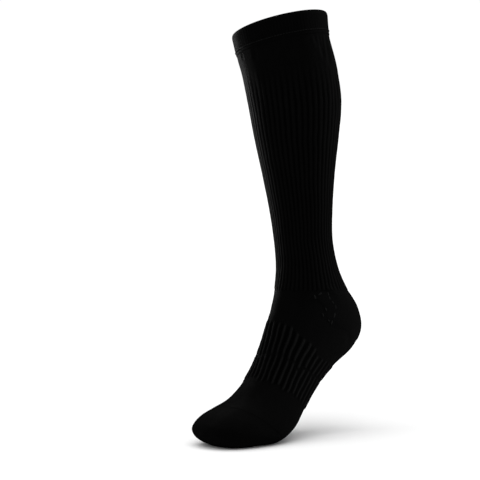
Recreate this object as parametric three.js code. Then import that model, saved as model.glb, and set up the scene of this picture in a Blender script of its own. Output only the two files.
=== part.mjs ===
// A knee-high compression stocking, filled out and standing on its toes: an open mouth and a hollow tube.
// Millimetres, +Z up, toes towards -Y. The origin is the middle of the mouth, where the leg goes in.
import * as THREE from "three";

// Driving dimensions
const MOUTH_HEIGHT = 476;
const WALL = 1.6;
const BAND_WALL = 2.6;
const BAND_RIDGE = 0.5;
const RIM_PULL = 1.6;
const RIM_REACH = 0.2;
const SEAM_GAP = 0.3;
const LEG_RIBS = 50;
const LEG_RIB_RISE = 0.6;
const ARCH_RIBS = 36;
const ARCH_RIB_RISE = 0.85;
const ARCH_BREAK_RISE = 0.4;
const HEEL_RISE = 0.5;
const HEEL_REACH = 0.3;

// The cloth, near black, with a dry knitted face
const CLOTH_COLOUR = "#0b0b0d";
const CLOTH_ROUGHNESS = 0.9;

// One row for each cross-section, from the mouth to the tip of the toe. Each runs from a point on the front
// line of the sock to one on its back line, as [y, height above the ground], and width is across it. side is
// how far its middle lies towards +X, roll lifts its +X side, in degrees, egg widens it towards the back, and
// square fills out its corners.
const SECTIONS = [
  { at: "mouth", front: [-56, 471], back: [51, 477], width: 107, side: 0, roll: 16.5, egg: 0.04, square: 0 },
  { at: "band edge", front: [-49, 447], back: [53, 452], width: 106, side: 1, roll: 15, egg: 0.05, square: 0 },
  { at: "upper calf", front: [-42, 418], back: [65, 421], width: 106, side: 2, roll: 8, egg: 0.07, square: 0 },
  { at: "calf", front: [-35, 384], back: [72, 386], width: 103, side: 3, roll: 3, egg: 0.08, square: 0 },
  { at: "lower calf", front: [-28, 346], back: [69, 347], width: 94, side: 4, roll: 0, egg: 0.08, square: 0 },
  { at: "shin", front: [-18, 304], back: [65, 305], width: 81, side: 5, roll: 0, egg: 0.06, square: 0 },
  { at: "low shin", front: [-9, 264], back: [63, 265], width: 71, side: 6, roll: 0, egg: 0.04, square: 0 },
  { at: "ankle", front: [-4, 228], back: [65, 227], width: 63, side: 7, roll: 0, egg: 0.02, square: 0 },
  { at: "ankle bone", front: [-2, 200], back: [74, 194], width: 63, side: 8, roll: 0, egg: 0, square: 0 },
  { at: "heel top", front: [-5, 178], back: [91, 167], width: 64, side: 8, roll: 0, egg: 0, square: 0 },
  { at: "heel back", front: [-10, 159], back: [111, 143], width: 65, side: 8, roll: 0, egg: 0, square: 0 },
  { at: "heel point", front: [-17, 141], back: [118, 117], width: 66, side: 8, roll: 0, egg: 0, square: 0 },
  { at: "heel under", front: [-24, 122], back: [102, 95], width: 66, side: 8, roll: 0, egg: 0, square: 0 },
  { at: "arch top", front: [-31, 102], back: [68, 77], width: 67, side: 8, roll: 0, egg: 0.02, square: 0.01 },
  { at: "arch", front: [-40, 82], back: [37, 56], width: 71, side: 8, roll: 0, egg: 0.04, square: 0.02 },
  { at: "arch end", front: [-53, 64], back: [13, 33], width: 77, side: 8, roll: 0, egg: 0.06, square: 0.03 },
  { at: "ball", front: [-71, 50], back: [-8, 11], width: 83, side: 8, roll: 0, egg: 0.08, square: 0.05 },
  { at: "toe root", front: [-91, 42], back: [-35, -1], width: 85, side: 8, roll: 0, egg: 0.08, square: 0.08 },
  { at: "toes", front: [-107, 36], back: [-65, -2], width: 81, side: 8, roll: 0, egg: 0.06, square: 0.08 },
  { at: "toe curve", front: [-118, 30], back: [-96, -1], width: 68, side: 8, roll: 0, egg: 0.04, square: 0.07 },
  { at: "toe end", front: [-126, 24], back: [-116, 6], width: 44, side: 8, roll: 0, egg: 0, square: 0.04 },
  { at: "toe tip", front: [-128, 16], back: [-128, 16], width: 0, side: 8, roll: 0, egg: 0, square: 0 },
];
const LAST = SECTIONS.length - 1;
const place = (name) => SECTIONS.findIndex((row) => row.at === name);

// The edges that divide the tube, each as its place in the table at the front and at the back. An edge keeps its
// back place from a third of a turn onwards.
const EDGE_TURN = 0.33;
const MOUTH = { front: 0, back: 0 };
const BAND_EDGE = { front: place("band edge"), back: place("band edge") };
const LEG_EDGE = { front: place("heel top") + 0.45, back: place("heel top") + 0.15 };
const ARCH_START = { front: place("heel point") + 0.1, back: place("heel under") + 0.95 };
const ARCH_BREAK = { front: place("arch top") + 0.2, back: place("arch top") + 0.75 };
const ARCH_END = { front: place("arch") + 0.6, back: place("arch end") + 0.05 };
const TOE_EDGE = { front: place("toe root") - 0.1, back: place("toe root") - 0.1 };
const TOE_TIP = { front: LAST, back: LAST };

// A smooth curve through columns of the table
function column(read) {
  const points = SECTIONS.map((row) => new THREE.Vector3(...read(row)));
  return new THREE.CatmullRomCurve3(points, false, "catmullrom", 0.5);
}
const frontLine = column((row) => [...row.front, 0]);
const backLine = column((row) => [...row.back, 0]);
const breadth = column((row) => [row.width, row.side, row.roll]);
const roundness = column((row) => [row.egg, row.square, 0]);

// The middle surface of the plain cloth at a place s along the sock and a turn t round it.
// t is 0 at the front, 0.25 on the +X side and 0.5 at the back.
function form(s, t) {
  const along = THREE.MathUtils.clamp(s / LAST, 0, 1);
  const front = frontLine.getPoint(along);
  const back = backLine.getPoint(along);
  const { x: width, y: side, z: roll } = breadth.getPoint(along);
  const { x: egg, y: square } = roundness.getPoint(along);
  const turn = t * 2 * Math.PI;
  const corner = 1 + square * Math.sin(2 * turn) ** 2;
  const backwards = -Math.cos(turn) * corner;
  const sideways = (Math.sin(turn) * corner * (1 + egg * backwards) * width) / 2;
  const spine = front.clone().lerp(back, (1 + backwards) / 2);
  const lift = sideways * Math.tan(THREE.MathUtils.degToRad(roll));
  return new THREE.Vector3(side + sideways, spine.x, spine.y - MOUTH_HEIGHT + lift);
}

// The direction straight out of that surface
function outward(s, t) {
  const step = 0.02;
  const here = THREE.MathUtils.clamp(s, step, LAST - step);
  const along = form(here + step, t).sub(form(here - step, t));
  const round = form(here, t + step).sub(form(here, t - step));
  return along.cross(round).normalize();
}

// A point off the middle surface, pressed flat where the toes rest on the ground
function face(s, t, distance) {
  const point = form(s, t).addScaledVector(outward(s, t), distance);
  point.z = Math.max(point.z, WALL / 2 - distance - MOUTH_HEIGHT);
  return point;
}

// How far an edge has changed from its front place to its back place at a turn
const behind = (t) => Math.sin((Math.PI / 2) * Math.min(Math.abs(t - Math.round(t)) / EDGE_TURN, 1)) ** 2;
const placeOn = (edge, t) => THREE.MathUtils.lerp(edge.front, edge.back, behind(t));

// An edge part of the way from one edge to another
const between = (from, to, share) => ({
  front: THREE.MathUtils.lerp(from.front, to.front, share),
  back: THREE.MathUtils.lerp(from.back, to.back, share),
});
const spread = (from, to, count) => Array.from({ length: count + 1 }, (_, i) => between(from, to, i / count));

// The same edge moved on along the sock, far enough to leave the seam gap at its tightest turn
function past(edge) {
  const step = 0.02;
  const reach = (t) => form(placeOn(edge, t) + step, t).distanceTo(form(placeOn(edge, t), t)) / step;
  const shift = SEAM_GAP / Math.min(...even(24).map(reach));
  return { front: edge.front + shift, back: edge.back + shift };
}

// The turns of the points of a ring: evenly spaced, or a groove and the two edges of a flat rib in each rib
const even = (count) => Array.from({ length: count }, (_, i) => i / count);
const RIB_PROFILE = [0, 0.24, 0.76];
const ribbed = (ribs) => even(ribs).flatMap((start) => RIB_PROFILE.map((part) => start + part / ribs));
const inGroove = (t, ribs) => Math.abs(t * ribs - Math.round(t * ribs)) < RIB_PROFILE[1] / 2;

// A ring of points along an edge, at a distance from the middle surface that may change round the ring
function ring(edge, turns, distance) {
  const off = typeof distance === "function" ? distance : () => distance;
  return turns.map((turn) => ({ turn, point: face(placeOn(edge, turn), turn, off(turn)) }));
}
const INSIDE = -WALL / 2;
const OUTSIDE = WALL / 2;
const onRibs = (ribs, rise) => (t) => (inGroove(t, ribs) ? OUTSIDE : OUTSIDE + rise);
const onHeel = (t) => (Math.abs(t - 0.5) <= HEEL_REACH ? OUTSIDE + HEEL_RISE : OUTSIDE);

// Joins two rings, which may differ in their number of points, by a strip of triangles
function bridge(first, second) {
  const triangles = [];
  const point = (loop, i) => loop[i % loop.length].point;
  const turn = (loop, i) => loop[i % loop.length].turn + Math.floor(i / loop.length);
  const stops = (loop) => (loop.length > 1 ? loop.length : 0);
  let i = 0;
  let j = 0;
  while (i < stops(first) || j < stops(second)) {
    const stepFirst = j >= stops(second) || (i < stops(first) && turn(first, i + 1) <= turn(second, j + 1));
    if (stepFirst) {
      triangles.push(point(first, i), point(second, j), point(first, i + 1));
      i += 1;
    } else {
      triangles.push(point(first, i), point(second, j), point(second, j + 1));
      j += 1;
    }
  }
  return triangles;
}

// A closed wall from a chain of rings, down the outside and back up the inside
function wall(name, rings) {
  const closes = rings[0].length > 1;
  const pairs = rings.slice(1).map((loop, i) => [rings[i], loop]);
  if (closes) pairs.push([rings[rings.length - 1], rings[0]]);
  const geometry = new THREE.BufferGeometry().setFromPoints(pairs.flatMap(([a, b]) => bridge(a, b)));
  geometry.computeVertexNormals();
  const cloth = new THREE.MeshStandardMaterial({ color: CLOTH_COLOUR, roughness: CLOTH_ROUGHNESS });
  const mesh = new THREE.Mesh(geometry, cloth);
  mesh.name = name;
  return mesh;
}

// How far the elastic rim of the band curls in, by the share of the way down the band
function rimPull(down) {
  const away = Math.max(1 - down / RIM_REACH, 0);
  return RIM_PULL * (1 - Math.sqrt(1 - away ** 2));
}

// The turned band round the mouth: two layers thick, its rim rolled in, with a raised sewn ridge near its foot
function topBand() {
  const turns = even(72);
  const half = BAND_WALL / 2;
  const profile = [
    { down: 0, out: -0.45 * half },
    { down: 0, out: 0.45 * half },
    { down: 0.03, out: half },
    { down: 0.09, out: half },
    { down: 0.2, out: half },
    { down: 0.78, out: half },
    { down: 0.82, out: half + BAND_RIDGE },
    { down: 0.87, out: half + BAND_RIDGE },
    { down: 0.91, out: half },
    { down: 1, out: half },
    { down: 1, out: -half },
    { down: 0.5, out: -half },
    { down: 0.2, out: -half },
    { down: 0.09, out: -half },
    { down: 0.03, out: -half },
  ];
  const loop = ({ down, out }) => ring(between(MOUTH, BAND_EDGE, down), turns, out - rimPull(down));
  return wall("top_band", profile.map(loop));
}

// The tube from the band to the ankle, its ribs rising a little below the band
function leg() {
  const start = past(BAND_EDGE);
  const turns = ribbed(LEG_RIBS);
  const ribs = onRibs(LEG_RIBS, LEG_RIB_RISE);
  const plain = [start, between(start, LEG_EDGE, 0.05)].map((edge) => ring(edge, turns, OUTSIDE));
  const raised = spread(between(start, LEG_EDGE, 0.1), LEG_EDGE, 13).map((edge) => ring(edge, turns, ribs));
  const inner = spread(LEG_EDGE, start, 14).map((edge) => ring(edge, even(40), INSIDE));
  return wall("leg", [...plain, ...raised, ...inner]);
}

// The ribbed arch band: its ribs rise from the plain cloth at both ends and dip at the break between its two tiers
function archBand() {
  const turns = ribbed(ARCH_RIBS);
  const full = onRibs(ARCH_RIBS, ARCH_RIB_RISE);
  const dipped = onRibs(ARCH_RIBS, ARCH_BREAK_RISE);
  const tier = (from, to) => spread(from, to, 3).map((edge) => ring(edge, turns, full));
  return [
    ring(between(ARCH_START, ARCH_BREAK, 0.02), turns, OUTSIDE),
    ...tier(between(ARCH_START, ARCH_BREAK, 0.09), between(ARCH_START, ARCH_BREAK, 0.95)),
    ring(ARCH_BREAK, turns, dipped),
    ...tier(between(ARCH_BREAK, ARCH_END, 0.05), between(ARCH_BREAK, ARCH_END, 0.91)),
    ring(between(ARCH_BREAK, ARCH_END, 0.98), turns, OUTSIDE),
  ];
}

// The foot: a plain ankle with the thicker heel raised on it, the arch band in two tiers, and the forefoot
function foot() {
  const start = past(LEG_EDGE);
  const towardsArch = (share) => between(start, ARCH_START, share);
  const plain = even(60);
  const rings = [
    ring(start, plain, OUTSIDE),
    ...spread(towardsArch(0.03), towardsArch(0.62), 7).map((edge) => ring(edge, plain, onHeel)),
    ...spread(towardsArch(0.65), ARCH_START, 3).map((edge) => ring(edge, plain, OUTSIDE)),
    ...archBand(),
    ...spread(ARCH_END, TOE_EDGE, 3).map((edge) => ring(edge, plain, OUTSIDE)),
    ...spread(TOE_EDGE, ARCH_START, 8).map((edge) => ring(edge, even(40), INSIDE)),
    ...spread(towardsArch(0.88), start, 8).map((edge) => ring(edge, even(40), INSIDE)),
  ];
  return wall("foot", rings);
}

// The closed toe, round at its end
function toe() {
  const start = past(TOE_EDGE);
  const tip = (distance) => [{ turn: 0, point: face(LAST, 0, distance) }];
  const outer = spread(start, between(start, TOE_TIP, 0.97), 10).map((edge) => ring(edge, even(56), OUTSIDE));
  const inner = spread(between(start, TOE_TIP, 0.93), start, 8).map((edge) => ring(edge, even(40), INSIDE));
  return wall("toe", [tip(INSIDE), ...inner, ...outer, tip(OUTSIDE)]);
}

const stocking = new THREE.Group();
stocking.name = "compression_stocking";
stocking.add(topBand(), leg(), foot(), toe());

export default stocking;
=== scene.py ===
"""A knee-high compression stocking, filled out and standing on its toes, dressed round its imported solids."""

import math
from collections import namedtuple

import bpy
import numpy as np
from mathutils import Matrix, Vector


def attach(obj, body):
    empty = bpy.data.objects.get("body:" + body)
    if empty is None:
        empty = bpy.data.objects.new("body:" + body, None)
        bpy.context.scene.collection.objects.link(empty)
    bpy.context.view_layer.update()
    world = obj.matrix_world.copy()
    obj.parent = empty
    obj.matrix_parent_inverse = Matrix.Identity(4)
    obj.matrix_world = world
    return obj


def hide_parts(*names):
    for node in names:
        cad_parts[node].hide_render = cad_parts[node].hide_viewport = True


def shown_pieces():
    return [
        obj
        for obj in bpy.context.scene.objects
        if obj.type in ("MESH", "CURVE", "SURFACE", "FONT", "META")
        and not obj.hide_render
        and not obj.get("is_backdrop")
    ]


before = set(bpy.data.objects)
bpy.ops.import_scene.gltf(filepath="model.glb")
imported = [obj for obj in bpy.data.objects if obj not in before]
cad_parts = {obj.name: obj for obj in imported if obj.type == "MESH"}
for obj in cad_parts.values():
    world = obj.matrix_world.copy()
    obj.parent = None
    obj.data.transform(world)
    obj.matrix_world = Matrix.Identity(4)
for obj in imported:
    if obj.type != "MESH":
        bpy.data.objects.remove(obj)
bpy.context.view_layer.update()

bl_info = {
    "name": "Compression stocking",
    "version": (1, 0, 0),
    "blender": (4, 5, 0),
    "location": "View3D > Sidebar > Stocking",
    "description": "Builds a knee-high compression stocking round its packed solids",
    "category": "Object",
}

MM = 0.001
TINY = 1e-9
BODY = "root"


def linear(code):
    """A hex sRGB colour as the linear numbers that a shader takes."""
    parts = [int(code[i : i + 2], 16) / 255 for i in (1, 3, 5)]
    return tuple(p / 12.92 if p <= 0.04045 else ((p + 0.055) / 1.055) ** 2.4 for p in parts)


# Settings
class StockingSizes(bpy.types.PropertyGroup):
    """The sizes that a user would change."""

    wall: bpy.props.FloatProperty(
        name="Cloth", description="Thickness of the single knit", default=1.6 * MM, unit="LENGTH")
    band_wall: bpy.props.FloatProperty(
        name="Band", description="Thickness of the doubled band", default=2.6 * MM, unit="LENGTH")
    band_ridge: bpy.props.FloatProperty(
        name="Band ridge", description="Rise of the sewn ridge of the band", default=0.45 * MM, unit="LENGTH")
    leg_ribs: bpy.props.IntProperty(name="Leg ribs", description="Ribs round the leg", default=50)
    leg_rib_rise: bpy.props.FloatProperty(
        name="Leg rib rise", description="Height of a leg rib", default=0.5 * MM, unit="LENGTH")
    arch_ribs: bpy.props.IntProperty(name="Arch ribs", description="Ribs round the arch", default=36)
    arch_rib_rise: bpy.props.FloatProperty(
        name="Arch rib rise", description="Height of an arch rib", default=1.15 * MM, unit="LENGTH")
    heel_rise: bpy.props.FloatProperty(
        name="Heel rise", description="How far the thicker heel stands out", default=0.45 * MM, unit="LENGTH")
    wale: bpy.props.FloatProperty(
        name="Wale", description="Width of a column of loops", default=0.75 * MM, unit="LENGTH")
    course: bpy.props.FloatProperty(
        name="Course", description="Height of a row of loops", default=0.5 * MM, unit="LENGTH")


class StockingColours(bpy.types.PropertyGroup):
    """The colours that a user would change."""

    # The darker colour is painted shade in the hollows between the loops, and clouds of varying tone also mix
    # it in
    dark: bpy.props.FloatVectorProperty(
        name="Cloth hollows", description="Colour of the cloth between its loops", subtype="COLOR", size=3,
        default=linear("#030303"))
    light: bpy.props.FloatVectorProperty(
        name="Cloth crests", description="Colour of the cloth on its loops", subtype="COLOR", size=3,
        default=linear("#060606"))
    # The rib crests' colour is a painted highlight, standing in for light caught on the rib flanks
    crest: bpy.props.FloatVectorProperty(
        name="Rib crests", description="Colour of the rubbed crests of the ribs", subtype="COLOR", size=3,
        default=linear("#121212"))
    thread: bpy.props.FloatVectorProperty(
        name="Thread", description="Colour of the sewing thread", subtype="COLOR", size=3,
        default=linear("#0f0f0f"))


def sizes():
    """The sizes set in the panel."""
    return bpy.context.scene.stocking_sizes


def colours():
    """The colours set in the panel."""
    return bpy.context.scene.stocking_colours


# The form of the filled-out tube, in millimetres
# Each row is a cross-section, from the mouth to the tip of the toe. It runs from a point on the front line of
# the sock to one on its back line, as (y, height above the ground), and width is across it. side is how far
# its middle lies towards +X, roll lifts its +X side, in degrees, egg widens it towards the back, and square
# fills its corners.
MOUTH_HEIGHT = 476
Section = namedtuple("Section", "front back width side roll egg square")
SECTIONS = {
    "mouth": Section((-56, 471), (51, 477), 107, 0, 16.5, 0.04, 0),
    "band edge": Section((-49, 447), (53, 452), 106, 1, 15, 0.05, 0),
    "upper calf": Section((-42, 418), (65, 421), 106, 2, 8, 0.07, 0),
    "calf": Section((-35, 384), (72, 386), 103, 3, 3, 0.08, 0),
    "lower calf": Section((-28, 346), (69, 347), 94, 4, 0, 0.08, 0),
    "shin": Section((-18, 304), (65, 305), 81, 5, 0, 0.06, 0),
    "low shin": Section((-9, 264), (63, 265), 71, 6, 0, 0.04, 0),
    "ankle": Section((-4, 228), (65, 227), 63, 7, 0, 0.02, 0),
    "ankle bone": Section((-2, 200), (74, 194), 63, 8, 0, 0, 0),
    "heel top": Section((-5, 178), (91, 167), 64, 8, 0, 0, 0),
    "heel back": Section((-10, 159), (111, 143), 65, 8, 0, 0, 0),
    "heel point": Section((-17, 141), (118, 117), 66, 8, 0, 0, 0),
    "heel under": Section((-24, 122), (102, 95), 66, 8, 0, 0, 0),
    "arch top": Section((-31, 102), (68, 77), 67, 8, 0, 0.02, 0.01),
    "arch": Section((-40, 82), (37, 56), 71, 8, 0, 0.04, 0.02),
    "arch end": Section((-53, 64), (13, 33), 77, 8, 0, 0.06, 0.03),
    "ball": Section((-71, 50), (-8, 11), 83, 8, 0, 0.08, 0.05),
    "toe root": Section((-91, 42), (-35, -1), 85, 8, 0, 0.08, 0.08),
    "toes": Section((-107, 36), (-65, -2), 81, 8, 0, 0.06, 0.08),
    "toe curve": Section((-118, 30), (-96, -1), 68, 8, 0, 0.04, 0.07),
    "toe end": Section((-126, 24), (-116, 6), 44, 8, 0, 0, 0.04),
    "toe tip": Section((-128, 16), (-128, 16), 0, 8, 0, 0, 0),
}
LAST = len(SECTIONS) - 1
PLACES = {name: i for i, name in enumerate(SECTIONS)}


def column(read):
    """A smooth curve through one number of the table, read at places along the sock."""
    values = np.array([read(row) for row in SECTIONS.values()], float)
    padded = np.concatenate([[2 * values[0] - values[1]], values, [2 * values[-1] - values[-2]]])

    def at(place):
        place = np.clip(place, 0, LAST)
        row = np.minimum(place.astype(int), LAST - 1)
        part = place - row
        before, start, end, after = (padded[row + k] for k in range(4))
        slope_in = (end - before) / 2
        slope_out = (after - start) / 2
        bend = 2 * start - 2 * end + slope_in + slope_out
        curve = -3 * start + 3 * end - 2 * slope_in - slope_out
        return ((bend * part + curve) * part + slope_in) * part + start

    return at


COLUMNS = {
    "front_y": column(lambda row: row.front[0]),
    "front_h": column(lambda row: row.front[1]),
    "back_y": column(lambda row: row.back[0]),
    "back_h": column(lambda row: row.back[1]),
    "width": column(lambda row: row.width),
    "side": column(lambda row: row.side),
    "roll": column(lambda row: row.roll),
    "egg": column(lambda row: row.egg),
    "square": column(lambda row: row.square),
}


def form(place, turn):
    """The middle surface of the plain cloth, in metres, at places along the sock and turns round it.

    A place is counted in rows of the table, with parts of a row between them. A turn is 0 at the front, 0.25
    on the +X side and 0.5 at the back.
    """
    place, turn = np.broadcast_arrays(np.asarray(place, float), np.asarray(turn, float))
    at = {name: read(place) for name, read in COLUMNS.items()}
    angle = 2 * math.pi * turn
    corner = 1 + at["square"] * np.sin(2 * angle) ** 2
    backwards = -np.cos(angle) * corner
    sideways = np.sin(angle) * corner * (1 + at["egg"] * backwards) * at["width"] / 2
    share = (1 + backwards) / 2
    y = at["front_y"] + (at["back_y"] - at["front_y"]) * share
    height = at["front_h"] + (at["back_h"] - at["front_h"]) * share
    z = height - MOUTH_HEIGHT + sideways * np.tan(np.radians(at["roll"]))
    return np.stack([at["side"] + sideways, y, z], axis=-1) * MM


def unit(vectors):
    """Vectors of length 1."""
    return vectors / np.maximum(np.linalg.norm(vectors, axis=-1, keepdims=True), TINY)


# How far apart, in places and in turns, the form is read to find which way it faces
FACING_STEP = 0.02


def facing(place, turn):
    """The direction straight out of the form."""
    place = np.clip(place, FACING_STEP, LAST - FACING_STEP)
    along = unit(form(place + FACING_STEP, turn) - form(place - FACING_STEP, turn))
    around = unit(form(place, turn + FACING_STEP) - form(place, turn - FACING_STEP))
    return unit(np.cross(along, around))


# The edges that divide the tube, each as its place at the front and at the back. An edge keeps its back place
# from a third of a turn onwards.
EDGE_TURN = 0.33
Edge = namedtuple("Edge", "front back")
MOUTH = Edge(0, 0)
BAND_EDGE = Edge(PLACES["band edge"], PLACES["band edge"])
LEG_EDGE = Edge(PLACES["heel top"] + 0.45, PLACES["heel top"] + 0.15)
ARCH_START = Edge(PLACES["heel point"] + 0.1, PLACES["heel under"] + 0.95)
ARCH_BREAK = Edge(PLACES["arch top"] + 0.2, PLACES["arch top"] + 0.75)
ARCH_END = Edge(PLACES["arch"] + 0.6, PLACES["arch end"] + 0.05)
TOE_EDGE = Edge(PLACES["toe root"] - 0.1, PLACES["toe root"] - 0.1)
TOE_TIP = Edge(LAST, LAST)

# Neighbouring stretches of knit stop this far short of each other. The lower end of each has a tongue in the
# middle of its wall, which fits a groove in the next, so that no light shines through. Both count in places.
SEAM = 0.002
TONGUE = 0.03


def moved(edge, distance):
    """An edge moved along the sock."""
    return Edge(edge.front + distance, edge.back + distance)


def between(first, second, share):
    """An edge part of the way from one edge to another."""
    return Edge(*(a + (b - a) * share for a, b in zip(first, second)))


def spread(first, second, count):
    """Edges evenly spaced from one edge to another, with both of them."""
    return [between(first, second, i / count) for i in range(count + 1)]


def off_front(turn):
    """How far turns lie from the front, 0 to 0.5."""
    return np.abs(turn - np.round(turn))


def place_on(edge, turn):
    """The place of an edge at turns."""
    away = np.minimum(off_front(turn) / EDGE_TURN, 1)
    return edge.front + (edge.back - edge.front) * np.sin(math.pi / 2 * away) ** 2


def share_of(place, turn, first, second):
    """How far places lie from one edge, at 0, to another, at 1."""
    start = place_on(first, turn)
    return (place - start) / (place_on(second, turn) - start)


def smooth(x, low, high):
    """A soft step from 0 at low to 1 at high."""
    x = np.clip((x - low) / (high - low), 0, 1)
    return x * x * (3 - 2 * x)


def bump(x, middle, half_width):
    """A soft hill that is 1 at its middle and 0 from half_width away."""
    return 0.5 + 0.5 * np.cos(math.pi * np.clip((x - middle) / half_width, -1, 1))


# The grid of places and turns on which the cloth is measured along the sock
LENGTH_STEPS = 20
LENGTH_TURNS = 64


def measure_lengths():
    """The length of cloth from the mouth, on the grid."""
    places = np.arange(LAST * LENGTH_STEPS + 1) / LENGTH_STEPS
    turns = np.arange(LENGTH_TURNS + 1) / LENGTH_TURNS
    spans = np.diff(form(places[:, None], turns[None, :]), axis=0)
    run = np.cumsum(np.linalg.norm(spans, axis=-1), axis=0)
    return np.concatenate([np.zeros((1, LENGTH_TURNS + 1)), run])


LENGTHS = measure_lengths()


def length_at(place, turn):
    """The length of cloth from the mouth to places, at turns, which spaces the courses of the knit."""
    down = np.clip(place * LENGTH_STEPS, 0, LAST * LENGTH_STEPS - TINY)
    across = np.clip((turn % 1) * LENGTH_TURNS, 0, LENGTH_TURNS - TINY)
    i, j = down.astype(int), across.astype(int)
    down, across = down - i, across - j
    upper = LENGTHS[i, j] * (1 - across) + LENGTHS[i, j + 1] * across
    lower = LENGTHS[i + 1, j] * (1 - across) + LENGTHS[i + 1, j + 1] * across
    return upper * (1 - down) + lower * down


# How finely a stretch of cloth is measured, along it and round it
CUT_STEPS = 40
CUT_TURNS = 96


def cut_of(first, second):
    """The filled-out cloth between two edges, as its girth, its length and its area in metres."""
    turn = np.arange(CUT_TURNS + 1) / CUT_TURNS
    place = np.stack([place_on(edge, turn) for edge in spread(first, second, CUT_STEPS)])
    points = form(place, turn)
    across = points[:, 1:] - points[:, :-1]
    down = points[1:] - points[:-1]
    girth = np.linalg.norm(across, axis=-1).sum(axis=1).max()
    length = np.linalg.norm(down, axis=-1).sum(axis=0).max()
    area = np.linalg.norm(np.cross(across[:-1], down[:, :-1]), axis=-1).sum()
    return float(girth), float(length), float(area)


# The creases, each from one (place, turn) to another, with its width and depth in millimetres
Crease = namedtuple("Crease", "start end width depth")
CREASES = [
    # Puckers under the band, on the side that faces the viewer
    Crease((0.98, 0.262), (1.85, 0.268), 2.6, 1.20),
    Crease((1.00, 0.281), (1.60, 0.276), 2.0, 0.95),
    Crease((0.99, 0.243), (1.50, 0.250), 2.2, 0.85),
    Crease((1.01, 0.305), (2.05, 0.289), 3.4, 1.15),
    Crease((1.00, 0.180), (1.45, 0.184), 2.6, 0.40),
    Crease((1.02, 0.098), (1.55, 0.101), 3.0, 0.40),
    Crease((1.00, 0.022), (1.60, 0.018), 2.6, 0.50),
    # Puckers under the band on the far side and behind
    Crease((1.00, 0.362), (1.80, 0.352), 3.2, 0.60),
    Crease((0.99, 0.421), (1.50, 0.425), 2.4, 0.50),
    Crease((1.01, 0.507), (1.95, 0.498), 3.2, 0.65),
    Crease((1.00, 0.566), (1.50, 0.570), 2.4, 0.45),
    Crease((0.99, 0.648), (1.75, 0.655), 3.0, 0.65),
    Crease((1.00, 0.742), (1.60, 0.736), 2.6, 0.60),
    Crease((0.99, 0.803), (1.45, 0.806), 2.2, 0.45),
    Crease((1.00, 0.881), (1.70, 0.889), 3.0, 0.55),
    Crease((0.99, 0.952), (1.40, 0.948), 2.4, 0.45),
    # Long slack folds that slant round the calf
    Crease((1.55, 0.335), (3.60, 0.285), 6.0, 0.80),
    Crease((2.10, 0.372), (3.90, 0.322), 6.5, 0.60),
    Crease((1.70, 0.640), (3.50, 0.690), 6.5, 0.70),
    Crease((2.30, 0.585), (4.10, 0.632), 7.0, 0.55),
    Crease((1.90, 0.985), (3.10, 1.005), 5.5, 0.45),
    # Soft wrinkles where the foot bends up from the shin
    Crease((9.55, 0.930), (9.75, 1.085), 4.0, 0.45),
    Crease((10.15, 0.955), (10.30, 1.110), 4.5, 0.50),
    Crease((10.75, 0.900), (10.70, 1.040), 4.0, 0.40),
    # Short wrinkles across the back of the ankle
    Crease((7.85, 0.425), (7.95, 0.545), 4.0, 0.45),
    Crease((8.40, 0.460), (8.35, 0.590), 4.5, 0.50),
    Crease((8.85, 0.410), (8.90, 0.520), 3.6, 0.40),
    # A small raised fold on each side, just above the heel
    Crease((9.12, 0.215), (9.18, 0.275), 3.2, -1.20),
    Crease((9.12, 0.785), (9.18, 0.725), 3.2, -1.00),
    # The pull of the heel towards the arch, on both sides
    Crease((11.20, 0.300), (12.20, 0.365), 5.0, 0.45),
    Crease((11.20, 0.700), (12.20, 0.635), 5.0, 0.45),
    # A shallow fold where the toes bend, over the foot and under it
    Crease((15.60, 0.900), (15.75, 1.080), 6.0, 0.40),
    Crease((15.30, 0.420), (15.35, 0.580), 5.0, 0.45),
]

# A crease is laid as a line of short spans. Across it, in widths, the cloth swells a little beside the
# trough, and past its reach it is flat. Towards its ends it grows shallow, more bluntly with a lower power.
CREASE_SPANS = 10
SHOULDER_PLACE = 1.9
SHOULDER_RISE = 0.35
CREASE_REACH = 4
END_POWER = 0.7

# The doubled band stays smooth, so the creases set in over these places, just below it
CREASES_SET_IN = (0.98, 1.15)


def crease_lift(points):
    """How far the creases move points on the form outwards, in metres."""
    lift = np.zeros(len(points))
    for crease in CREASES:
        share = np.linspace(0, 1, CREASE_SPANS + 1)
        line = form(*(a + (b - a) * share for a, b in zip(crease.start, crease.end)))
        width = crease.width * MM
        middle = line.mean(axis=0)
        reach = np.linalg.norm(line - middle, axis=1).max() + CREASE_REACH * width
        near = np.flatnonzero(np.linalg.norm(points - middle, axis=1) < reach)
        if not len(near):
            continue
        spans = np.diff(line, axis=0)
        offset = points[near][:, None, :] - line[None, :-1, :]
        along = np.clip((offset * spans).sum(-1) / (spans**2).sum(-1), 0, 1)
        away = np.linalg.norm(offset - along[..., None] * spans, axis=-1)
        nearest = away.argmin(axis=1)
        rows = np.arange(len(near))
        distance = away[rows, nearest] / width
        end = (nearest + along[rows, nearest]) / CREASE_SPANS
        fade = np.sin(math.pi * end) ** END_POWER
        trough = -np.exp(-(distance**2))
        shoulder = SHOULDER_RISE * np.exp(-((distance - SHOULDER_PLACE) ** 2))
        lift[near] += (trough + shoulder) * fade * crease.depth * MM
    return lift


def on_cloth(place, turn, out):
    """Points at a distance from the form, creased, and flat where the toes rest, and the ways out of them."""
    base = form(place, turn)
    outward = facing(place, turn)
    creased = crease_lift(base) * smooth(place, *CREASES_SET_IN)
    points = base + outward * (out + creased)[:, None]
    half = sizes().wall / 2
    lowest = -MOUTH_HEIGHT * MM + half - np.minimum(out, half)
    points[:, 2] = np.maximum(points[:, 2], lowest)
    return points, outward


# Meshes
SHARP_ANGLE = 70


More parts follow.
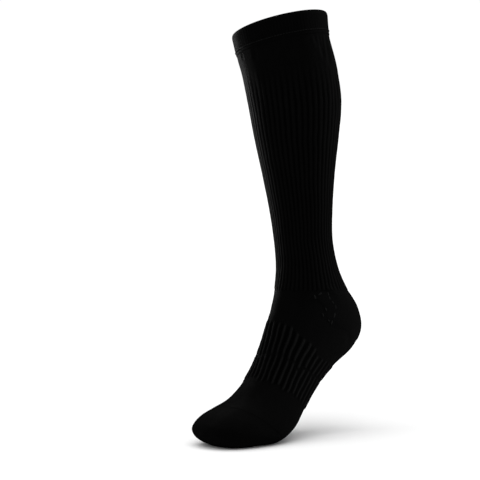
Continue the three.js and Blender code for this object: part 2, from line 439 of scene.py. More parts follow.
def smooth_mesh(name, vertices, faces):
    """A smooth-shaded mesh object at the origin."""
    mesh = bpy.data.meshes.new(name)
    mesh.from_pydata(vertices, [], faces)
    mesh.shade_smooth()
    mesh.set_sharp_from_angle(angle=math.radians(SHARP_ANGLE))
    piece = bpy.data.objects.new(name, mesh)
    bpy.context.scene.collection.objects.link(piece)
    return piece


def store(piece, name, kind, values):
    """Keeps a value at each point of a mesh, for the node trees and materials to read."""
    attribute = piece.data.attributes.new(name, kind, "POINT")
    key = "vector" if kind == "FLOAT_VECTOR" else "value"
    attribute.data.foreach_set(key, np.asarray(values, np.float32).ravel())


def wall_faces(rings, count, tip):
    """The faces of a closed wall of rings, and the turn at each of their corners."""
    half = rings // 2
    ring = np.array([i for i in range(rings) if not (tip and i == half - 1)])[:, None]
    point = np.arange(count)[None, :]
    here, below = ring * count, (ring + 1) % rings * count
    right = (point + 1) % count
    quads = np.stack([here + point, below + point, below + right, here + right], axis=-1)
    turns = np.broadcast_to(np.stack([point, point, point + 1, point + 1], axis=-1) / count, quads.shape)
    faces, face_turns = quads.reshape(-1, 4).tolist(), turns.reshape(-1, 4).tolist()
    if tip:
        outer_pole, inner_pole = rings * count, rings * count + 1
        outer, inner = (half - 1) * count, half * count
        for i in range(count):
            after = (i + 1) % count
            faces.append([outer + i, outer_pole, outer + after])
            faces.append([inner + after, inner_pole, inner + i])
            face_turns.append([i / count, (i + 0.5) / count, (i + 1) / count])
            face_turns.append([(i + 1) / count, (i + 0.5) / count, i / count])
    return faces, np.concatenate(face_turns)


# A ring of a wall: the edge that it follows, and its distance from the form, or a function that gives it
Row = namedtuple("Row", "edge out")

# The UV map on which the loops are drawn: turns across and rows of loops along
KNIT_UV = "Knit"

# Loops as fine as the real ones don't show in the render, so they are drawn this many times as large
LOOP_COARSENESS = 2.2


def shell(name, rows, count, tip=False):
    """A closed wall with rings of count points, down the outside and back up the inside.

    With a tip, the outer and the inner half of the rows each close in a point at the end of the toe. The
    piece comes with the places, turns and distances of its points.
    """
    turn = np.arange(count) / count
    place = np.stack([place_on(row.edge, turn) for row in rows])
    out = np.stack([np.broadcast_to(row.out(at, turn) if callable(row.out) else row.out, count)
                    for row, at in zip(rows, place)])
    turn = np.broadcast_to(turn, place.shape)
    place, turn, out = place.ravel(), turn.ravel(), out.ravel()
    if tip:
        half = len(rows) // 2
        place = np.append(place, [LAST, LAST])
        turn = np.append(turn, [0, 0])
        out = np.append(out, [rows[half - 1].out, rows[half].out])
    points, outward = on_cloth(place, turn, out)
    faces, corner_turns = wall_faces(len(rows), count, tip)
    piece = smooth_mesh(name, points.tolist(), faces)
    store(piece, "turn", "FLOAT", turn)
    store(piece, "outward", "FLOAT_VECTOR", outward)
    corners = np.zeros(len(piece.data.loops), np.int32)
    piece.data.loops.foreach_get("vertex_index", corners)
    courses = length_at(place, turn)[corners] / (sizes().course * LOOP_COARSENESS)
    uv = piece.data.uv_layers.new(name=KNIT_UV)
    uv.data.foreach_set("uv", np.stack([corner_turns, courses], axis=-1).astype(np.float32).ravel())
    return piece, place, turn, out


# Node trees
MATH = "ShaderNodeMath"
NOISE = "ShaderNodeTexNoise"
STORED = "GeometryNodeInputNamedAttribute"


def add_node(tree, kind, inputs=None, **settings):
    """Adds a node with its settings, and sets or links its inputs, which are named or numbered."""
    node = tree.nodes.new(kind)
    for name, value in settings.items():
        setattr(node, name, value)
    for key, value in (inputs or {}).items():
        if isinstance(value, bpy.types.NodeSocket):
            tree.links.new(value, node.inputs[key])
        else:
            node.inputs[key].default_value = value
    return node


def off_middle(tree, counted):
    """How far a point is from the middle of its rib or column of loops, 0 to 1, from how these are counted."""
    part = add_node(tree, MATH, {0: counted}, operation="FRACT").outputs[0]
    centred = add_node(tree, MATH, {0: part, 1: 0.5}, operation="SUBTRACT").outputs[0]
    off = add_node(tree, MATH, {0: centred}, operation="ABSOLUTE").outputs[0]
    return add_node(tree, MATH, {0: off, 1: 2.0}, operation="MULTIPLY").outputs[0]


def once(kept, name, make, *settings):
    """The material or node tree of this name, made the first time that it is asked for."""
    return kept.get(name) or make(name, *settings)


def shape_tree(name, inputs):
    """A node tree for meshes with named inputs, and the sockets that give them."""
    tree = bpy.data.node_groups.new(name, "GeometryNodeTree")
    tree.interface.new_socket("Mesh", in_out="INPUT", socket_type="NodeSocketGeometry")
    for label, kind in inputs.items():
        tree.interface.new_socket(label, in_out="INPUT", socket_type=kind)
    tree.interface.new_socket("Mesh", in_out="OUTPUT", socket_type="NodeSocketGeometry")
    return tree, add_node(tree, "NodeGroupInput").outputs


def close_tree(tree, geometry, material):
    """Ends a tree: instances become real meshes, with their material."""
    real = add_node(tree, "GeometryNodeRealizeInstances", {0: geometry}).outputs[0]
    done = add_node(tree, "GeometryNodeSetMaterial", {"Geometry": real, "Material": material}).outputs[0]
    add_node(tree, "NodeGroupOutput", {0: done})


def apply_tree(piece, tree, values):
    """Runs a tree on a mesh with its inputs set by name, and keeps the result as a plain mesh."""
    modifier = piece.modifiers.new(tree.name, "NODES")
    modifier.node_group = tree
    sockets = {item.name: item.identifier for item in tree.interface.items_tree if item.in_out == "INPUT"}
    for name, value in values.items():
        modifier[sockets[name]] = value
    graph = bpy.context.evaluated_depsgraph_get()
    made = bpy.data.meshes.new_from_object(
        piece.evaluated_get(graph), preserve_all_data_layers=True, depsgraph=graph)
    piece.modifiers.remove(modifier)
    old = piece.data
    piece.data = made
    made.name = piece.name
    bpy.data.meshes.remove(old)


# A rib wanders from its line by this share of the distance between ribs, and it swells and thins along its
# length. Both go by soft patches of these sizes.
WANDER = 0.4
WANDER_PATCH = 18.18 * MM
SWELL_PATCH = 11.11 * MM


def rib_tree(name):
    """Raises evenly spaced ribs that run along the sock, by the turn of each point.

    Crest is the half width of a rib's flat top and Foot that of its base, as shares of half the distance
    between ribs. Shift moves the ribs round, in ribs.
    """
    tree, given = shape_tree(name, {
        "Ribs": "NodeSocketInt",
        "Rise": "NodeSocketFloat",
        "Crest": "NodeSocketFloat",
        "Foot": "NodeSocketFloat",
        "Shift": "NodeSocketFloat",
        "Unevenness": "NodeSocketFloat",
        "Material": "NodeSocketMaterial",
    })
    turn = add_node(tree, STORED, {"Name": "turn"}, data_type="FLOAT").outputs[0]
    mask = add_node(tree, STORED, {"Name": "ribbed"}, data_type="FLOAT").outputs[0]
    away = add_node(tree, STORED, {"Name": "outward"}, data_type="FLOAT_VECTOR").outputs[0]
    # The rib that a point lies on, as a number that grows round the sock and wanders a little
    phase = add_node(tree, MATH, {0: turn, 1: given["Ribs"], 2: given["Shift"]},
                     operation="MULTIPLY_ADD").outputs[0]
    drift = add_node(tree, NOISE, {"Scale": 1 / WANDER_PATCH, "Detail": 1.0}).outputs[0]
    aside = add_node(tree, MATH, {0: drift, 1: WANDER, 2: -WANDER / 2}, operation="MULTIPLY_ADD").outputs[0]
    bent = add_node(tree, MATH, {0: aside, 1: given["Unevenness"], 2: phase},
                    operation="MULTIPLY_ADD").outputs[0]
    # The rib's round back
    height = add_node(tree, "ShaderNodeMapRange",
                      {"Value": off_middle(tree, bent), "From Min": given["Crest"], "From Max": given["Foot"],
                       "To Min": 1.0, "To Max": 0.0}, interpolation_type="SMOOTHSTEP").outputs[0]
    # The rib swells and thins, and is raised only where the cloth is ribbed
    noise = add_node(tree, NOISE, {"Scale": 1 / SWELL_PATCH, "Detail": 2.0}).outputs[0]
    uneven = add_node(tree, MATH, {0: noise, 1: 0.5}, operation="SUBTRACT").outputs[0]
    swell = add_node(tree, MATH, {0: uneven, 1: given["Unevenness"], 2: 1.0},
                     operation="MULTIPLY_ADD").outputs[0]
    masked = add_node(tree, MATH, {0: height, 1: mask}, operation="MULTIPLY").outputs[0]
    swollen = add_node(tree, MATH, {0: masked, 1: swell}, operation="MULTIPLY").outputs[0]
    lift = add_node(tree, MATH, {0: swollen, 1: given["Rise"]}, operation="MULTIPLY").outputs[0]
    offset = add_node(tree, "ShaderNodeVectorMath", {0: away, "Scale": lift}, operation="SCALE").outputs[0]
    kept = add_node(tree, "GeometryNodeStoreNamedAttribute",
                    {"Geometry": given["Mesh"], "Name": "raised", "Value": masked},
                    data_type="FLOAT").outputs[0]
    raised = add_node(tree, "GeometryNodeSetPosition", {"Geometry": kept, "Offset": offset}).outputs[0]
    close_tree(tree, raised, given["Material"])
    return tree


def stitch_tree(name):
    """Lays a small round-ended stitch on each point, along the stored direction and flat on the cloth."""
    tree, given = shape_tree(name, {
        "Length": "NodeSocketFloat",
        "Width": "NodeSocketFloat",
        "Rise": "NodeSocketFloat",
        "Material": "NodeSocketMaterial",
    })
    run = add_node(tree, STORED, {"Name": "run"}, data_type="FLOAT_VECTOR").outputs[0]
    away = add_node(tree, STORED, {"Name": "outward"}, data_type="FLOAT_VECTOR").outputs[0]
    size = add_node(tree, STORED, {"Name": "size"}, data_type="FLOAT").outputs[0]
    ball = add_node(tree, "GeometryNodeMeshUVSphere",
                    {"Segments": 10, "Rings": 6, "Radius": 0.5}).outputs["Mesh"]
    shape = add_node(tree, "ShaderNodeCombineXYZ",
                     {"X": given["Length"], "Y": given["Width"], "Z": given["Rise"]}).outputs[0]
    scaled = add_node(tree, "ShaderNodeVectorMath", {0: shape, "Scale": size}, operation="SCALE").outputs[0]
    lie = add_node(tree, "FunctionNodeAlignRotationToVector", {"Vector": away}, axis="Z").outputs[0]
    along = add_node(tree, "FunctionNodeAlignRotationToVector", {"Rotation": lie, "Vector": run},
                     axis="X", pivot_axis="Z").outputs[0]
    laid = add_node(tree, "GeometryNodeInstanceOnPoints",
                    {"Points": given["Mesh"], "Instance": ball, "Rotation": along,
                     "Scale": scaled}).outputs[0]
    soft = add_node(tree, "GeometryNodeSetShadeSmooth", {"Geometry": laid, "Shade Smooth": True}).outputs[0]
    close_tree(tree, soft, given["Material"])
    return tree


# Materials
BLACK = (0, 0, 0, 1)

# A loop's two legs climb this many rows from the middle of its column to the sides. Its yarn swells and thins
# by this share, its sides fall off by this power, and it stands this high.
LOOP_CLIMB = 0.55
YARN_SWING = 0.25
SIDE_POWER = 3.0
LOOP_RELIEF = 0.3 * MM

# Loose fibres make a fuzz, half as high as the loops. Single fibres don't show in the render either, so it is
# drawn as coarse as the loops are. Dye and stretch make faint clouds.
FUZZ_PATCH = 1.111 * MM
FUZZ_SHARE = 0.5
CLOUD_PATCH = 16.67 * MM

# Between the ribs the cloth is painted this much darker, as painted shade, and a painted highlight
# lightens a rib towards its crest by this power
GROOVE_PAINTED_SHADE = 0.6
HIGHLIGHT_POWER = 1.5


def knit_material(name, wales, crest_highlight):
    """Jersey of black nylon and elastane, knitted in small V-shaped loops.

    wales is how many columns of loops go round the sock, and the other how far the crests of its ribs are
    painted lighter, as a painted highlight.
    """
    material = bpy.data.materials.new(name)
    material.use_nodes = True
    tree = material.node_tree
    tree.nodes.clear()
    # The loops: rows that climb from the middle of each column to its sides, where they meet in a valley
    uv = add_node(tree, "ShaderNodeUVMap", uv_map=KNIT_UV).outputs[0]
    across, along = add_node(tree, "ShaderNodeSeparateXYZ", {0: uv}).outputs[:2]
    wale = add_node(tree, MATH, {0: across, 1: wales}, operation="MULTIPLY").outputs[0]
    off = off_middle(tree, wale)
    slant = add_node(tree, MATH, {0: off, 1: LOOP_CLIMB, 2: along}, operation="MULTIPLY_ADD").outputs[0]
    angle = add_node(tree, MATH, {0: slant, 1: 2 * math.pi}, operation="MULTIPLY").outputs[0]
    wave = add_node(tree, MATH, {0: angle}, operation="COSINE").outputs[0]
    yarn = add_node(tree, MATH, {0: wave, 1: YARN_SWING, 2: 1 - YARN_SWING},
                    operation="MULTIPLY_ADD").outputs[0]
    valley = add_node(tree, MATH, {0: off, 1: SIDE_POWER}, operation="POWER").outputs[0]
    back = add_node(tree, MATH, {0: 1.0, 1: valley}, operation="SUBTRACT").outputs[0]
    loop = add_node(tree, MATH, {0: yarn, 1: back}, operation="MULTIPLY").outputs[0]
    # Loops and fuzz give the dry, faintly grainy relief of knitted yarn
    place = add_node(tree, "ShaderNodeTexCoord").outputs["Object"]
    fuzz = add_node(tree, NOISE, {"Vector": place, "Scale": 1 / FUZZ_PATCH, "Detail": 3.0}).outputs[0]
    height = add_node(tree, MATH, {0: fuzz, 1: FUZZ_SHARE, 2: loop}, operation="MULTIPLY_ADD").outputs[0]
    normal = add_node(tree, "ShaderNodeBump",
                      {"Strength": 0.7, "Distance": LOOP_RELIEF, "Height": height}).outputs[0]
    # The hollows between the loops are painted darker than the loops, as painted shade, and clouds of varying
    # tone keep the black from looking flat
    cloud = add_node(tree, NOISE, {"Vector": place, "Scale": 1 / CLOUD_PATCH, "Detail": 4.0}).outputs[0]
    shade = add_node(tree, MATH, {0: cloud, 1: loop}, operation="MULTIPLY").outputs[0]
    dark, light, crest = ((*colour, 1) for colour in (colours().dark, colours().light, colours().crest))
    plain = add_node(tree, "ShaderNodeMix", {0: shade, 6: dark, 7: light}, data_type="RGBA").outputs[2]
    # Grooves between the ribs are painted near black, as painted shade, and the crests a little lighter, as a
    # painted highlight
    raised = add_node(tree, "ShaderNodeAttribute", attribute_name="raised").outputs["Fac"]
    ribbed = add_node(tree, "ShaderNodeAttribute", attribute_name="ribbed").outputs["Fac"]
    groove = add_node(tree, MATH, {0: ribbed, 1: raised}, operation="SUBTRACT").outputs[0]
    painted_groove_shade = add_node(tree, MATH, {0: groove, 1: GROOVE_PAINTED_SHADE}, operation="MULTIPLY").outputs[0]
    shaded = add_node(tree, "ShaderNodeMix", {0: painted_groove_shade, 6: plain, 7: BLACK}, data_type="RGBA").outputs[2]
    top = add_node(tree, MATH, {0: raised, 1: HIGHLIGHT_POWER}, operation="POWER").outputs[0]
    highlit = add_node(tree, MATH, {0: top, 1: crest_highlight}, operation="MULTIPLY").outputs[0]
    colour = add_node(tree, "ShaderNodeMix", {0: highlit, 6: shaded, 7: crest}, data_type="RGBA").outputs[2]
    # Textured yarn has no shine of its own, only a trace of bloom where the cloth turns away
    cloth = add_node(tree, "ShaderNodeBsdfPrincipled",
                     {"Base Color": colour, "Normal": normal, "Roughness": 0.9, "Specular IOR Level": 0.0,
                      "Sheen Weight": 0.004, "Sheen Roughness": 0.5}).outputs[0]
    add_node(tree, "ShaderNodeOutputMaterial", {"Surface": cloth})
    return material


def even_material(name, colour, roughness):
    """A material of one colour, without shine."""
    material = bpy.data.materials.new(name)
    material.use_nodes = True
    inputs = material.node_tree.nodes["Principled BSDF"].inputs
    inputs["Base Color"].default_value = (*colour, 1)
    inputs["Roughness"].default_value = roughness
    inputs["Specular IOR Level"].default_value = 0.0
    return material


def sewing_thread():
    """Twisted black polyester thread, a little lighter and smoother than the knit, so that stitches show."""
    return once(bpy.data.materials, "sewing_thread", even_material, colours().thread, 0.8)


def backdrop_paper():
    """Seamless white paper, smooth and dull, which shows soft shadows and no gloss."""
    return once(bpy.data.materials, "backdrop_paper", even_material, linear("#f6f6f6"), 0.9)


# How much lighter the crests of the ribs are painted, a painted highlight, as a share of the way to their
# own colour
BAND_HIGHLIGHT = 0.0
LEG_HIGHLIGHT = 0.08
FOOT_HIGHLIGHT = 0.5


def wales_round(first, second, ribs):
    """How many columns of loops are drawn round a stretch of the sock, a whole number for each rib."""
    girth = cut_of(first, second)[0]
    return ribs * round(girth / ribs / (sizes().wale * LOOP_COARSENESS))


def leg_wales():
    """The columns of loops round the leg, which go on into the band."""
    return wales_round(BAND_EDGE, LEG_EDGE, sizes().leg_ribs)


def band_jersey():
    """The smooth jersey of the doubled band, without a painted highlight on its crests, black with faint
    painted shade between its low ribs.
    """
    return once(bpy.data.materials, "band_jersey", knit_material, leg_wales(), BAND_HIGHLIGHT)


def ribbed_jersey():
    """The leg's ribbed jersey, with a faint painted highlight on its rib crests and fine stripes of painted
    shade between its ribs.
    """
    return once(bpy.data.materials, "ribbed_jersey", knit_material, leg_wales(), LEG_HIGHLIGHT)


def foot_jersey():
    """The jersey of foot and toe, whose arch ribs carry a grey painted highlight on their crests."""
    wales = wales_round(LEG_EDGE, TOE_EDGE, sizes().arch_ribs)
    return once(bpy.data.materials, "foot_jersey", knit_material, wales, FOOT_HIGHLIGHT)


# Pieces
def raise_ribs(piece, jersey, mask, values):
    """Gives a tube its jersey, and raises ribs on it as far as the mask says."""
    store(piece, "ribbed", "FLOAT", mask)
    piece.data.materials.append(jersey)
    apply_tree(piece, once(bpy.data.node_groups, "raise ribs", rib_tree), {**values, "Material": jersey})


def settle(piece, node, first, second):
    """Seats a finished stretch of knit on the body and hides the solid that it stands for. Its cut is
    measured, and not used.
    """
    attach(piece, BODY)
    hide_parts(node)
    girth, length, area = cut_of(first, second)


# Hand-guided stitches differ in size, by these shares
STITCH_SIZES = (0.7, 1.3)


def lay_stitches(name, line, out, stitch):
    """One piece of raised stitches along a line of (place, turn), each of a length, width and rise."""
    place, turn = np.array(line, float).T
    points, outward = on_cloth(place, turn, np.full(len(line), out))
    random = np.random.default_rng(len(line))
    piece = smooth_mesh(name, points.tolist(), [])
    store(piece, "run", "FLOAT_VECTOR", unit(np.gradient(points, axis=0)))
    store(piece, "outward", "FLOAT_VECTOR", outward)
    store(piece, "size", "FLOAT", random.uniform(*STITCH_SIZES, len(line)))
    length, width, rise = stitch
    apply_tree(piece, once(bpy.data.node_groups, "lay stitches", stitch_tree),
               {"Length": length, "Width": width, "Rise": rise, "Material": sewing_thread()})
    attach(piece, BODY)
    return piece


# The band, by shares of the way down it: the rounds of its rim, as (share, distance from the middle in half
# walls), its plain stretch, and the stretch round its sewn line
RIM_ROUND = [(0.045, 0.98), (0.025, 0.86), (0.01, 0.66), (0.002, 0.4), (0, 0.12)]
BAND_PLAIN = (0.06, 0.76)
BAND_LOWER = (0.775, 1 - SEAM)
BAND_PLAIN_ROWS = 22
BAND_LOWER_ROWS = 24
BAND_INNER_ROWS = 24
BAND_RIB_POINTS = 8

# The elastic rim curls in towards the leg, over this share of the band
RIM_REACH = 0.2
RIM_PULL = 1.6 * MM

# The sewn line: a ridge, a groove right under it and a fainter ridge below, with their half widths
LINE_PLACE = 0.85
LINE_HALF = 0.04
GROOVE_PLACE = LINE_PLACE + 0.052
GROOVE_DEPTH = 0.3 * MM
FAINT_PLACE = LINE_PLACE + 0.105
FAINT_SHARE = 0.3
SIDE_HALF = 0.03
BAND_STITCHES = 104
BAND_STITCH = (2.6 * MM, 0.8 * MM, 0.5 * MM)

# The fine low ribs of the band, which set in below the rim and stop above the sewn line
BAND_RIBS = 90
BAND_RIB_RISE = 0.35 * MM
BAND_RIB_SHARE = 0.35
BAND_RIBS_SET_IN = (0.05, 0.2)
BAND_RIBS_STOP = (LINE_PLACE - 0.08, LINE_PLACE - 0.04)


def rim_pull(share):
    """How far the rim curls in, by the share of the way down the band."""
    away = np.clip(1 - share / RIM_REACH, 0, 1)
    return -RIM_PULL * (1 - np.sqrt(1 - away**2))


def band_line(share):
    """How far the sewn line stands out, by the share of the way down the band."""
    groove = GROOVE_DEPTH * bump(share, GROOVE_PLACE, SIDE_HALF)
    faint = FAINT_SHARE * bump(share, FAINT_PLACE, SIDE_HALF)
    return sizes().band_ridge * (bump(share, LINE_PLACE, LINE_HALF) + faint) - groove


class STOCKING_OT_top_band(bpy.types.Operator):
    """Makes the doubled band round the mouth, with its sewn ridge"""

    bl_idname = "stocking.top_band"
    bl_label = "Top band"

    def execute(self, context):
        half, single_half = sizes().band_wall / 2, sizes().wall / 2
        start, end = BAND_PLAIN[0], BAND_LOWER[1]
        profile = [(share, half * out) for share, out in reversed(RIM_ROUND)]
        for stretch, count in ((BAND_PLAIN, BAND_PLAIN_ROWS), (BAND_LOWER, BAND_LOWER_ROWS)):
            profile += [(share, half + band_line(share)) for share in np.linspace(*stretch, count)]
        profile += [(end, single_half), (end + TONGUE, 0), (end, -single_half)]
        profile += [(share, -half) for share in np.linspace(end, start, BAND_INNER_ROWS)]
        profile += [(share, -half * out) for share, out in RIM_ROUND]
        rows = [Row(between(MOUTH, BAND_EDGE, share), out + rim_pull(share)) for share, out in profile]
        piece, place, turn, out = shell("top_band_knit", rows, BAND_RIB_POINTS * BAND_RIBS)
        share = share_of(place, turn, MOUTH, BAND_EDGE)
        ribbed = BAND_RIB_SHARE * smooth(share, *BAND_RIBS_SET_IN) * (1 - smooth(share, *BAND_RIBS_STOP))
        raise_ribs(piece, band_jersey(), np.where(out > 0, ribbed, 0), {
            "Ribs": BAND_RIBS, "Rise": BAND_RIB_RISE, "Crest": 0.0, "Foot": 1.0,
            "Shift": 0.3, "Unevenness": 0.9})
        line = [(BAND_EDGE.front * LINE_PLACE, i / BAND_STITCHES) for i in range(BAND_STITCHES)]
        stitches = lay_stitches("band_stitches", line, half + sizes().band_ridge, BAND_STITCH)
        settle(piece, "top_band", MOUTH, BAND_EDGE)
        return {"FINISHED"}


LEG_ROWS = 150
LEG_INNER_ROWS = 18
LEG_RIB_POINTS = 10

# The leg's ribs rise out of plain knit below the band and stop at the ankle, by shares of the way down
LEG_RIBS_SET_IN = (0.07, 0.24)
LEG_RIBS_STOP = 0.012


class STOCKING_OT_leg(bpy.types.Operator):
    """Makes the ribbed tube from the band to the ankle"""

    bl_idname = "stocking.leg"
    bl_label = "Leg"

    def execute(self, context):
        half = sizes().wall / 2
        start = moved(BAND_EDGE, SEAM)
        rows = [Row(edge, half) for edge in spread(start, LEG_EDGE, LEG_ROWS)]
        rows += [Row(moved(LEG_EDGE, TONGUE), 0)]
        rows += [Row(edge, -half) for edge in spread(LEG_EDGE, start, LEG_INNER_ROWS)]
        rows += [Row(moved(start, TONGUE), 0)]
        piece, place, turn, out = shell("leg_knit", rows, LEG_RIB_POINTS * sizes().leg_ribs)
        share = share_of(place, turn, BAND_EDGE, LEG_EDGE)
        ribbed = smooth(share, *LEG_RIBS_SET_IN) * smooth(1 - share, 0, LEG_RIBS_STOP)
        raise_ribs(piece, ribbed_jersey(), np.where(out > 0, ribbed, 0), {
            "Ribs": sizes().leg_ribs, "Rise": sizes().leg_rib_rise, "Crest": 0.25, "Foot": 0.95,
            "Shift": 0.0, "Unevenness": 0.8})
        settle(piece, "leg", start, LEG_EDGE)
        return {"FINISHED"}


# The front edge of the thicker heel, as (place, turn), the same on both sides. Below it are the turns, and
# the places at the top and the underside, over which the heel rises from the plain knit.
HEEL_OUTLINE = [(9.10, 0.300), (9.35, 0.205), (9.65, 0.168), (10.00, 0.190), (10.35, 0.212),
                (10.55, 0.200), (10.80, 0.212), (11.10, 0.262), (11.45, 0.330), (11.70, 0.500)]
HEEL_RIM = (-0.004, 0.010)
HEEL_TOP = (9.18, 9.30)
HEEL_UNDER = (11.60, 11.75)

# Short raised marks knitted along that edge and across it, as lines of (place, turn), on both sides
NEAR_MARKS = [
    [(9.42, 0.190), (9.62, 0.168), (10.28, 0.208), (10.60, 0.198), (10.86, 0.220)],
    [(9.38, 0.226), (9.62, 0.228), (9.86, 0.238), (10.10, 0.247), (10.56, 0.240), (10.95, 0.232)],
]
HEEL_MARKS = NEAR_MARKS + [[(place, 1 - turn) for place, turn in line] for line in NEAR_MARKS]
HEEL_MARK = (5.0 * MM, 1.8 * MM, 0.7 * MM)

# Rings of points over the ankle and heel, the arch's two tiers and the ball, and twice on the inside
ANKLE_ROWS = 40
UPPER_TIER_ROWS = 32
LOWER_TIER_ROWS = 30
BALL_ROWS = 24
FOOT_INNER_ROWS = 14
ARCH_RIB_POINTS = 12

# The arch ribs are counted from this share of a rib at the front. Each reaches a little past its tier, starts
# and stops at random within a spread, and is pinched between the tiers, all by shares of a tier. Under the
# sole, by turns from the front, they are lower.
ARCH_SHIFT = 0.8
ARCH_SEED = 5
END_SOFTNESS = 0.12
START_REACH = 0.05
START_SPREAD = 0.14
STOP_REACH = 0.1
STOP_SPREAD = 0.16
PINCH_SPREAD = 0.24
PINCH_HALF = 0.1
PINCH_LEAST = 0.3
PINCH_VARIES = 0.6
SOLE_TURN = 0.5
SOLE_HALF = 0.2
SOLE_SOFTENING = 0.45


def heel_out(place, turn):
    """The outside of the foot, raised over the thicker heel."""
    front = np.interp(place, *zip(*HEEL_OUTLINE))
    inside = smooth(off_front(turn) - front, *HEEL_RIM)
    inside *= smooth(place, *HEEL_TOP) * (1 - smooth(place, *HEEL_UNDER))
    return sizes().wall / 2 + sizes().heel_rise * inside


def arch_ribbed(place, turn):
    """How far the arch ribs stand up, 0 to 1, in two tiers with ragged ends."""
    upper = share_of(place, turn, ARCH_START, ARCH_BREAK)
    lower = share_of(place, turn, ARCH_BREAK, ARCH_END)
    ribs = sizes().arch_ribs
    rib = np.floor(turn * ribs + ARCH_SHIFT).astype(int) % ribs
    start, stop, pinch, depth = np.random.default_rng(ARCH_SEED).uniform(0, 1, (4, ribs))[:, rib]
    begun = smooth(upper + START_REACH - START_SPREAD * start, 0, END_SOFTNESS)
    ended = smooth(1 + STOP_REACH - lower - STOP_SPREAD * stop, 0, END_SOFTNESS)
    from_break = np.where(lower < 0, upper - 1, lower) + PINCH_SPREAD * (pinch - 0.5)
    pinched = (PINCH_LEAST + PINCH_VARIES * depth) * bump(from_break, 0, PINCH_HALF)
    under = SOLE_SOFTENING * bump(off_front(turn), SOLE_TURN, SOLE_HALF)
    return begun * ended * (1 - pinched) * (1 - under)


class STOCKING_OT_foot(bpy.types.Operator):
    """Makes the foot: plain ankle, thicker heel, ribbed arch band in two tiers and plain forefoot"""

    bl_idname = "stocking.foot"
    bl_label = "Foot"

    def execute(self, context):
        half = sizes().wall / 2
        start = moved(LEG_EDGE, SEAM)
        end = moved(TOE_EDGE, -SEAM)
        outer = spread(start, ARCH_START, ANKLE_ROWS) + spread(ARCH_START, ARCH_BREAK, UPPER_TIER_ROWS)[1:]
        outer += spread(ARCH_BREAK, ARCH_END, LOWER_TIER_ROWS)[1:] + spread(ARCH_END, end, BALL_ROWS)[1:]
        inner = spread(end, ARCH_START, FOOT_INNER_ROWS) + spread(ARCH_START, start, FOOT_INNER_ROWS)[1:]
        rows = [Row(edge, heel_out) for edge in outer] + [Row(moved(end, TONGUE), 0)]
        rows += [Row(edge, -half) for edge in inner] + [Row(moved(start, TONGUE), 0)]
        piece, place, turn, out = shell("foot_knit", rows, ARCH_RIB_POINTS * sizes().arch_ribs)
        raise_ribs(piece, foot_jersey(), np.where(out > 0, arch_ribbed(place, turn), 0), {
            "Ribs": sizes().arch_ribs, "Rise": sizes().arch_rib_rise, "Crest": 0.0, "Foot": 0.7,
            "Shift": ARCH_SHIFT, "Unevenness": 0.9})
        raised = half + sizes().heel_rise
        marks = [lay_stitches(f"heel_marks_{i + 1}", line, raised, HEEL_MARK)
                 for i, line in enumerate(HEEL_MARKS)]
        settle(piece, "foot", start, end)
        return {"FINISHED"}


# The toe's last rings outside and inside, as shares of the way to its tip, where the wall closes
TOE_ROWS = 44
TOE_LAST_OUTER = 0.985
TOE_LAST_INNER = 0.96


class STOCKING_OT_toe(bpy.types.Operator):
    """Makes the closed toe, round at its end"""

    bl_idname = "stocking.toe"
    bl_label = "Toe"

    def execute(self, context):
        half = sizes().wall / 2
        start = moved(TOE_EDGE, SEAM)
        outer, inner = (between(start, TOE_TIP, share) for share in (TOE_LAST_OUTER, TOE_LAST_INNER))
        rows = [Row(edge, half) for edge in spread(start, outer, TOE_ROWS)]
        rows += [Row(edge, -half) for edge in spread(inner, start, TOE_ROWS)]
        rows += [Row(moved(start, TONGUE), 0)]
        piece = shell("toe_knit", rows, ARCH_RIB_POINTS // 2 * sizes().arch_ribs, tip=True)[0]
        piece.data.materials.append(foot_jersey())
        settle(piece, "toe", start, TOE_TIP)
        return {"FINISHED"}


# The stage
# The camera stands where the photograph was taken from: turned round the stocking, tipped down a little, and
# so many metres to the left of the middle of the mouth, in front of it and above it, or below if negative
VIEW_TURN = math.radians(47)
VIEW_PITCH = math.radians(4.2)
VIEW_LEFT = 0.046
VIEW_DISTANCE = 2.3
VIEW_HEIGHT = -0.08
LENS = 150
SENSOR = 36

# The viewer's directions: to the right, level and away, and up
RIGHT = Vector((math.cos(VIEW_TURN), math.sin(VIEW_TURN), 0))
AWAY = Vector((-math.sin(VIEW_TURN), math.cos(VIEW_TURN), 0))
UP = Vector((0, 0, 1))

# The lights, each at a place and aimed at another, both as (right, away, up) in metres from the middle of the
# mouth. The sun is as wide as a large softbox above. The others light the stocking alone, from behind and
# beside it, and give its edges their thin bright rims.
SOFT_CONE = {"spot_blend": 1, "shadow_soft_size": 0.12}
Light = namedtuple("Light", "kind strength place target shape")
OVERHEAD = Light("SUN", 2.2, (-0.22, -0.35, 1), (0, 0, 0), {"angle": math.radians(75)})
SIDE_LIGHTS = {
    "rim": Light("SPOT", 1500, (-0.62, 0.9, 0.05), (0, 0, -0.01),
                 {"spot_size": math.radians(38), **SOFT_CONE}),
    "left": Light("SPOT", 390, (-0.85, 0.68, -0.17), (0, 0, -0.17),
                  {"spot_size": math.radians(30), **SOFT_CONE}),
    "right": Light("AREA", 24, (0.95, 0.3, 0.35), (0, 0, -0.1),
                   {"shape": "RECTANGLE", "size": 0.2, "size_y": 0.4}),
}

# The white surroundings are brightest low down, where the camera looks, and dimmer above: strengths by how
# high a direction points, from 0 for level to 1 for straight up
GLOW_HEIGHTS = (0.12, 0.5)
GLOW_STRENGTHS = (1.02, 0.55)

# The floor reaches this far each way, and lies this far under the lowest cloth
FLOOR_REACH = 60
FLOOR_GAP = 0.1 * MM


def seen(right, away, up):
    """A point given as the viewer sees it, from the middle of the mouth."""
    return RIGHT * right + AWAY * away + UP * up


def aim(obj, target):
    """Turns a light or camera to look at a point."""
    obj.rotation_euler = (target - obj.location).to_track_quat("-Z", "Y").to_euler()


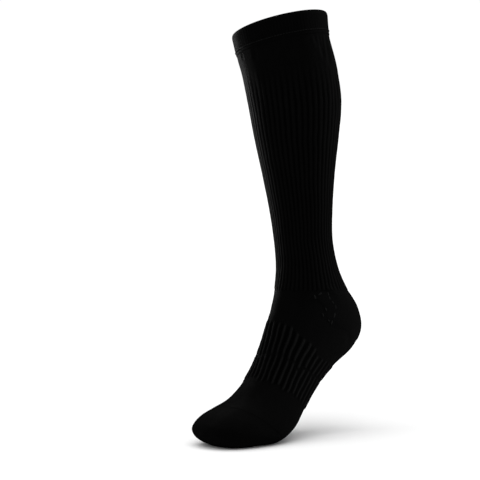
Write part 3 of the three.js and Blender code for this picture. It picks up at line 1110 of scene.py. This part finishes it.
def add_light(name, light, receivers=None):
    """Adds a light, which falls on the pieces in a collection alone, where one is given."""
    data = bpy.data.lights.new(name, light.kind)
    data.energy = light.strength
    for setting, value in light.shape.items():
        setattr(data, setting, value)
    lamp = bpy.data.objects.new(name, data)
    bpy.context.scene.collection.objects.link(lamp)
    lamp.light_linking.receiver_collection = receivers
    lamp.location = seen(*light.place)
    aim(lamp, seen(*light.target))


def add_floor():
    """Lays the white paper under the toes."""
    ground = -MOUTH_HEIGHT * MM - FLOOR_GAP
    near, far = -FLOOR_REACH, FLOOR_REACH
    corners = [(near, near, ground), (far, near, ground), (far, far, ground), (near, far, ground)]
    floor = smooth_mesh("floor", corners, [(0, 1, 2, 3)])
    floor.data.materials.append(backdrop_paper())
    floor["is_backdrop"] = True


def add_surroundings(scene):
    """Puts the scene in a white studio."""
    world = bpy.data.worlds.new("white studio")
    world.use_nodes = True
    tree = world.node_tree
    way = add_node(tree, "ShaderNodeTexCoord").outputs["Generated"]
    height = add_node(tree, "ShaderNodeSeparateXYZ", {0: way}).outputs["Z"]
    low, high = GLOW_HEIGHTS
    bright, dim = GLOW_STRENGTHS
    glow = add_node(tree, "ShaderNodeMapRange", {"Value": height, "From Min": low, "From Max": high,
                                                 "To Min": bright, "To Max": dim}).outputs[0]
    tree.links.new(glow, tree.nodes["Background"].inputs["Strength"])
    tree.nodes["Background"].inputs["Color"].default_value = (1, 1, 1, 1)
    scene.world = world


def add_camera(scene):
    """Stands the camera where the photograph was taken from."""
    lens = bpy.data.cameras.new("camera")
    lens.lens, lens.sensor_width = LENS, SENSOR
    camera = bpy.data.objects.new("camera", lens)
    scene.collection.objects.link(camera)
    camera.location = seen(-VIEW_LEFT, -VIEW_DISTANCE, VIEW_HEIGHT)
    aim(camera, camera.location + AWAY * math.cos(VIEW_PITCH) - UP * math.sin(VIEW_PITCH))
    scene.camera = camera


class STOCKING_OT_stage(bpy.types.Operator):
    """Makes the white floor, the soft lights and the camera"""

    bl_idname = "stocking.stage"
    bl_label = "Stage"

    def execute(self, context):
        add_floor()
        add_surroundings(context.scene)
        context.scene.view_settings.view_transform = "Standard"
        dressed = bpy.data.collections.new("lit from the sides")
        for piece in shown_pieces():
            dressed.objects.link(piece)
        add_light("key", OVERHEAD)
        for name, light in SIDE_LIGHTS.items():
            add_light(name, light, dressed)
        add_camera(context.scene)
        return {"FINISHED"}


class STOCKING_PT_panel(bpy.types.Panel):
    """Lists the sizes, the colours and the pieces"""

    bl_idname = "STOCKING_PT_panel"
    bl_label = "Stocking"
    bl_space_type = "VIEW_3D"
    bl_region_type = "UI"
    bl_category = "Stocking"

    def draw(self, context):
        for group in (sizes(), colours()):
            for name in group.bl_rna.properties.keys():
                if name not in ("name", "rna_type"):
                    self.layout.prop(group, name)
        for operator in OPERATORS:
            self.layout.operator(operator.bl_idname)


OPERATORS = (STOCKING_OT_top_band, STOCKING_OT_leg, STOCKING_OT_foot, STOCKING_OT_toe, STOCKING_OT_stage)
CLASSES = (StockingSizes, StockingColours, *OPERATORS, STOCKING_PT_panel)


def register():
    """Makes the stocking's operators and settings known."""
    for cls in CLASSES:
        bpy.utils.register_class(cls)
    bpy.types.Scene.stocking_sizes = bpy.props.PointerProperty(type=StockingSizes)
    bpy.types.Scene.stocking_colours = bpy.props.PointerProperty(type=StockingColours)


def unregister():
    """Takes them away again."""
    del bpy.types.Scene.stocking_colours
    del bpy.types.Scene.stocking_sizes
    for cls in reversed(CLASSES):
        bpy.utils.unregister_class(cls)


def main():
    """Builds the whole scene."""
    register()
    bpy.ops.stocking.top_band()
    bpy.ops.stocking.leg()
    bpy.ops.stocking.foot()
    bpy.ops.stocking.toe()
    bpy.ops.stocking.stage()


if __name__ == "__main__":
    main()
